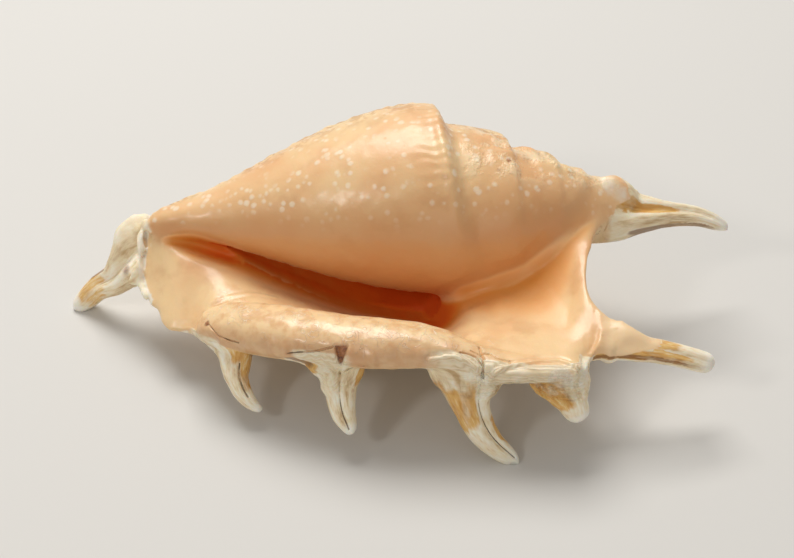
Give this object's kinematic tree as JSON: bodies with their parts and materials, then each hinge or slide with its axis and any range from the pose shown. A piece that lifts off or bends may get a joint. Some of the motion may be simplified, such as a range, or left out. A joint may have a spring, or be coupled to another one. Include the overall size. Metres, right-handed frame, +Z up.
{
  "type": "spider conch shell",
  "caption": "Spider conch shell lying on its back, with a tapered body whorl, a stepped spire, a long slit mouth and a wide flared outer lip that grows long curved spines.",
  "frame": {"origin": "middle of the underside of the whole shell's box, on the surface that the shell lies on", "axes": "+X towards the spire and the hind spine, -X towards the canal spine, -Y towards the outer lip and its spines, +Z up, with the mouth facing up and towards -Y"},
  "size_m": [0.1478, 0.078, 0.0504],
  "materials": {
    "shell": "satin, polished where callus covers it, rough and chalky on the spine tips"
  },
  "bodies": {
    "root": {"conch_shell": "shell"}
  },
  "joints": []
}
